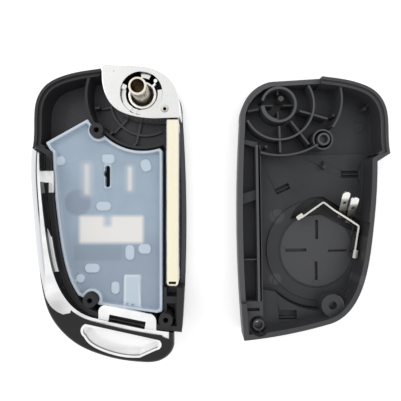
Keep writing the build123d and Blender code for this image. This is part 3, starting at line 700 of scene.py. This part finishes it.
PAD_SILICONE = Silicone(
    "silicone",
    (0.38, 0.475, 0.58),
    0.42,
    grain=0.3,
    grain_height=0.004,
    shade_spread=0.05,
    patches=(
        # Pale backs of the three buttons, seen through the rubber
        Patch((-31.6, 8.9), (0.3, 3.4), BUTTON_GLOW, 0.3, 2.0),
        Patch((-31.6, 8.9), (0.1, 3.4), BUTTON_GLOW, 0.5, 0.9),
        Patch((-20.6, 9.1), (0.2, 2.6), BUTTON_GLOW, 0.3, 1.6),
        Patch((-20.6, 9.1), (0.05, 2.6), BUTTON_GLOW, 0.65, 0.8),
        Patch((-25.35, -3.9), (7.6, 2.9), BUTTON_GLOW, 0.95, 1.1),
        # Edges of the raised plate, left, right and upper
        Patch((-21.73, -19.6), (0.1, 3.8), PLATE_EDGE, 0.8, 0.3),
        Patch((-18.0, -19.6), (0.1, 3.8), PLATE_EDGE, 0.8, 0.3),
        Patch((-19.9, -15.65), (1.8, 0.1), PLATE_EDGE, 0.8, 0.3),
        # Blue notch in the largest glow
        Patch((-26.3, -1.2), (0.4, 1.3), (0.40, 0.50, 0.60), 0.7, 1.2),
    ),
    under=(
        # Darker ground of the lower half, of the round key and of the wide bar
        Patch((-21.5, -16.5), (11.0, 7.5), (0.30, 0.35, 0.44), 0.6, 6.0),
        Patch((-33.9, 3.0), (3.0, 3.0), (0.24, 0.29, 0.38), 0.55, 0.7, Shape.DISC),
        Patch((-28.7, -9.9), (5.9, 1.7), (0.26, 0.33, 0.41), 0.5, 0.5),
    ),
)


@dataclass
class CadPieces:
    """CAD nodes whose shape is right, which get their finish; the two case halves also get a little
    rounding on their edges.
    """

    finishes: dict[str, Finish] = field(
        default_factory=lambda: {
            "front_housing": CASE_FRONT,
            "back_cover": CASE_BACK,
            "trim_frame": CHROME,
            "loop_liner": LINER_CHROME,
            "key_loop": GLOSS_BLACK,
            "release_button": CASE_FRONT,
            "lock_button": BUTTON_PLASTIC,
            "unlock_button": BUTTON_PLASTIC,
            "boot_button": BUTTON_PLASTIC,
            "pivot_post": PIVOT_NICKEL,
            "key_head": CAST_HEAD,
            "key_blade": BLADE_NICKEL,
            "blade_pin": PIN_NICKEL,
            "torsion_spring": SPRING_WIRE,
            "battery_contact": CONTACT_NICKEL,
        }
    )
    rounded: tuple[str, ...] = ("front_housing", "back_cover")
    edge_width: float = 0.07 * MM
    edge_segments: int = 2
    sharp_angle: float = math.radians(28)

    def soften(self, node: bpy.types.Object) -> None:
        """Round the sharp edges of a CAD node with modifiers, its mesh left as it is.

        Args:
            node: the CAD node.
        """
        weld = node.modifiers.new("weld", "WELD")
        weld.merge_threshold = MERGE_REACH
        bevel = node.modifiers.new("soft_edges", "BEVEL")
        bevel.limit_method = "ANGLE"
        bevel.angle_limit = self.sharp_angle
        bevel.width = self.edge_width
        bevel.segments = self.edge_segments
        bevel.use_clamp_overlap = False

    def dress(self) -> None:
        """Give every node its finish."""
        made: dict[str, bpy.types.Material] = {}
        for name, finish in self.finishes.items():
            if finish.name not in made:
                made[finish.name] = finish.make()
            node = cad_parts[name]
            node.data.materials.clear()
            node.data.materials.append(made[finish.name])
            if name in self.rounded:
                self.soften(node)
            log.info("dressed %s with %s", name, finish.name)


@dataclass
class SiliconePad:
    """Translucent pad with soft edges, a lip round its slot and the shape of its CAD solid."""

    voxel: float = 0.22 * MM
    smoothing: float = 0.5
    smooth_steps: int = 2
    slot_centre: Spot = (-26.23 * MM, 9.67 * MM)
    slot_half: Spot = (0.6 * MM, 2.75 * MM)
    slot_top: float = 6.0 * MM
    lip: float = 0.7 * MM
    lip_height: float = 0.4 * MM

    def source(self) -> bpy.types.Object:
        """Make a merged copy of the CAD solid.

        Returns:
            A new object with the copy.
        """
        mesh = bmesh.new()
        mesh.from_mesh(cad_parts["button_membrane"].data)
        bmesh.ops.remove_doubles(mesh, verts=mesh.verts, dist=MERGE_REACH)
        data = bpy.data.meshes.new("silicone_pad")
        mesh.to_mesh(data)
        mesh.free()
        data.materials.clear()
        pad = bpy.data.objects.new("silicone_pad", data)
        bpy.context.scene.collection.objects.link(pad)
        return pad

    def lifted(self, place: Vector) -> float:
        """Find how far the lip round the slot lifts a point.

        Args:
            place: the point.

        Returns:
            Height to add in metres.
        """
        across = abs(place.x - self.slot_centre[0]) - self.slot_half[0]
        along = abs(place.y - self.slot_centre[1]) - self.slot_half[1]
        away = math.hypot(max(across, 0), max(along, 0))
        if place.z < self.slot_top or away > self.lip:
            return 0.0
        return self.lip_height * (1 - away / self.lip)

    def soften(self, pad: bpy.types.Object) -> None:
        """Remesh and smooth the pad as moulded rubber, apply the result and raise the lip.

        Args:
            pad: the pad.
        """
        remesh = pad.modifiers.new("even_skin", "REMESH")
        remesh.mode = "VOXEL"
        remesh.voxel_size = self.voxel
        smooth = pad.modifiers.new("soft_skin", "SMOOTH")
        smooth.factor = self.smoothing
        smooth.iterations = self.smooth_steps
        bpy.context.view_layer.update()
        shaped = pad.evaluated_get(bpy.context.evaluated_depsgraph_get())
        skin = bpy.data.meshes.new_from_object(shaped)
        pad.modifiers.clear()
        pad.data = skin
        skin.name = "silicone_pad_skin"
        mesh = bmesh.new()
        mesh.from_mesh(skin)
        for vert in mesh.verts:
            vert.co.z += self.lifted(vert.co)
        bmesh.ops.recalc_face_normals(mesh, faces=mesh.faces)
        mesh.to_mesh(skin)
        mesh.free()
        skin.shade_smooth()

    def build(self) -> bpy.types.Object:
        """Build the pad and put it in place of its CAD solid.

        Returns:
            The pad.
        """
        pad = self.source()
        self.soften(pad)
        pad.data.materials.append(PAD_SILICONE.make())
        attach(pad, "front_case")
        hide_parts("button_membrane")
        log.info("built %s with %d faces", pad.name, len(pad.data.polygons))
        return pad


def grey(level: float) -> tuple[float, float, float, float]:
    """Opaque grey of a level."""
    return (level, level, level, 1)


@dataclass
class Lamp:
    """Soft square lamp that faces the object, with its place and size in metres."""

    name: str
    place: Point
    size: float
    power: float

    def hang(self) -> None:
        """Hang the lamp."""
        data = bpy.data.lights.new(self.name, "AREA")
        data.size = self.size
        data.energy = self.power
        lamp = bpy.data.objects.new(self.name, data)
        lamp.location = self.place
        lamp.rotation_euler = (-Vector(self.place)).to_track_quat("-Z", "Y").to_euler()
        bpy.context.scene.collection.objects.link(lamp)


@dataclass
class Studio:
    """Pale table, soft light and the camera straight above."""

    camera_height: float = 105.5 * MM
    view_centre: Spot = (-2.505 * MM, 3.522 * MM)
    view_width: float = 100.25 * MM
    parting_height: float = 8.5 * MM
    nearest: float = 5 * MM
    sensor: float = 36.0
    table_size: float = 4.0
    table_sides: int = 96
    table_drop: float = 0.02 * MM
    table_shade: float = 0.8
    table_glow: float = 0.40
    horizon: float = 0.42
    zenith: float = 0.95
    zenith_at: float = 0.75
    lamps: tuple[Lamp, ...] = (
        Lamp("softbox_left", (-0.55, 0.35, 0.65), 0.4, 1.5),
        Lamp("softbox_right", (0.6, 0.1, 0.6), 0.4, 0.9),
    )

    def camera(self) -> None:
        """Set the camera at the photograph's place, looking down."""
        data = bpy.data.cameras.new("camera")
        data.sensor_width = self.sensor
        half = self.view_width / 2 / (self.camera_height - self.parting_height)
        data.lens = data.sensor_width / 2 / half
        data.clip_start = self.nearest
        camera = bpy.data.objects.new("camera", data)
        camera.location = (*self.view_centre, self.camera_height)
        bpy.context.scene.collection.objects.link(camera)
        bpy.context.scene.camera = camera

    def table(self) -> None:
        """Lay the round table top, a hair under the object."""
        mesh = bmesh.new()
        bmesh.ops.create_circle(mesh, cap_ends=True, segments=self.table_sides, radius=self.table_size)
        bmesh.ops.translate(mesh, verts=mesh.verts, vec=(0, 0, -self.table_drop))
        data = bpy.data.meshes.new("table_top")
        mesh.to_mesh(data)
        mesh.free()
        top = bpy.data.objects.new("table_top", data)
        bpy.context.scene.collection.objects.link(top)
        data.materials.append(self.table_finish())

    def seen(self, tree: bpy.types.NodeTree) -> Socket:
        """Tell the rays of the camera, and those mirrored or passed on to it, from the rest.

        Args:
            tree: tree that gets the nodes.

        Returns:
            The socket with 1 for such a ray.
        """
        path = tree.nodes.new("ShaderNodeLightPath")
        total = path.outputs["Is Camera Ray"]
        for kind in ("Is Glossy Ray", "Is Transmission Ray"):
            add = tree.nodes.new("ShaderNodeMath")
            add.operation = "MAXIMUM"
            tree.links.new(total, add.inputs[0])
            tree.links.new(path.outputs[kind], add.inputs[1])
            total = add.outputs["Value"]
        return total

    def table_finish(self) -> bpy.types.Material:
        """Make the matt white that is seen a little brighter than it is lit.

        Returns:
            The table's material.
        """
        material = bpy.data.materials.new("table_white")
        material.use_nodes = True
        tree = material.node_tree
        tree.nodes.clear()
        matt = tree.nodes.new("ShaderNodeBsdfDiffuse")
        matt.inputs["Color"].default_value = grey(self.table_shade)
        glow = tree.nodes.new("ShaderNodeEmission")
        glow.inputs["Color"].default_value = grey(1)
        share = tree.nodes.new("ShaderNodeMath")
        share.operation = "MULTIPLY"
        share.inputs[1].default_value = self.table_glow
        both = tree.nodes.new("ShaderNodeAddShader")
        output = tree.nodes.new("ShaderNodeOutputMaterial")
        tree.links.new(self.seen(tree), share.inputs[0])
        tree.links.new(share.outputs["Value"], glow.inputs["Strength"])
        tree.links.new(matt.outputs["BSDF"], both.inputs[0])
        tree.links.new(glow.outputs["Emission"], both.inputs[1])
        tree.links.new(both.outputs["Shader"], output.inputs["Surface"])
        return material

    def world(self) -> None:
        """Surround the object with an even pale light, brighter overhead."""
        world = bpy.data.worlds.new("studio")
        bpy.context.scene.world = world
        world.use_nodes = True
        tree = world.node_tree
        tree.nodes.clear()
        place = tree.nodes.new("ShaderNodeTexCoord")
        split = tree.nodes.new("ShaderNodeSeparateXYZ")
        ramp = tree.nodes.new("ShaderNodeValToRGB")
        low, high = ramp.color_ramp.elements
        low.position = 0.0
        low.color = grey(self.horizon)
        high.position = self.zenith_at
        high.color = grey(self.zenith)
        sky = tree.nodes.new("ShaderNodeBackground")
        sky.inputs["Strength"].default_value = 1.0
        backdrop = tree.nodes.new("ShaderNodeMix")
        backdrop.data_type = "RGBA"
        backdrop.inputs["B"].default_value = grey(1)
        output = tree.nodes.new("ShaderNodeOutputWorld")
        tree.links.new(place.outputs["Generated"], split.inputs["Vector"])
        tree.links.new(split.outputs["Z"], ramp.inputs["Fac"])
        tree.links.new(self.seen(tree), backdrop.inputs["Factor"])
        tree.links.new(ramp.outputs["Color"], backdrop.inputs["A"])
        tree.links.new(backdrop.outputs["Result"], sky.inputs["Color"])
        tree.links.new(sky.outputs["Background"], output.inputs["Surface"])

    def build(self) -> None:
        """Set up everything that isn't the object."""
        self.camera()
        self.table()
        self.world()
        for lamp in self.lamps:
            lamp.hang()
        bpy.context.scene.view_settings.view_transform = "Standard"
        log.info("studio ready")


def main() -> None:
    """Set the studio, dress the CAD pieces and add the modelled pad."""
    logging.basicConfig(level=logging.INFO)
    Studio().build()
    CadPieces().dress()
    SiliconePad().build()


if __name__ == "__main__":
    main()
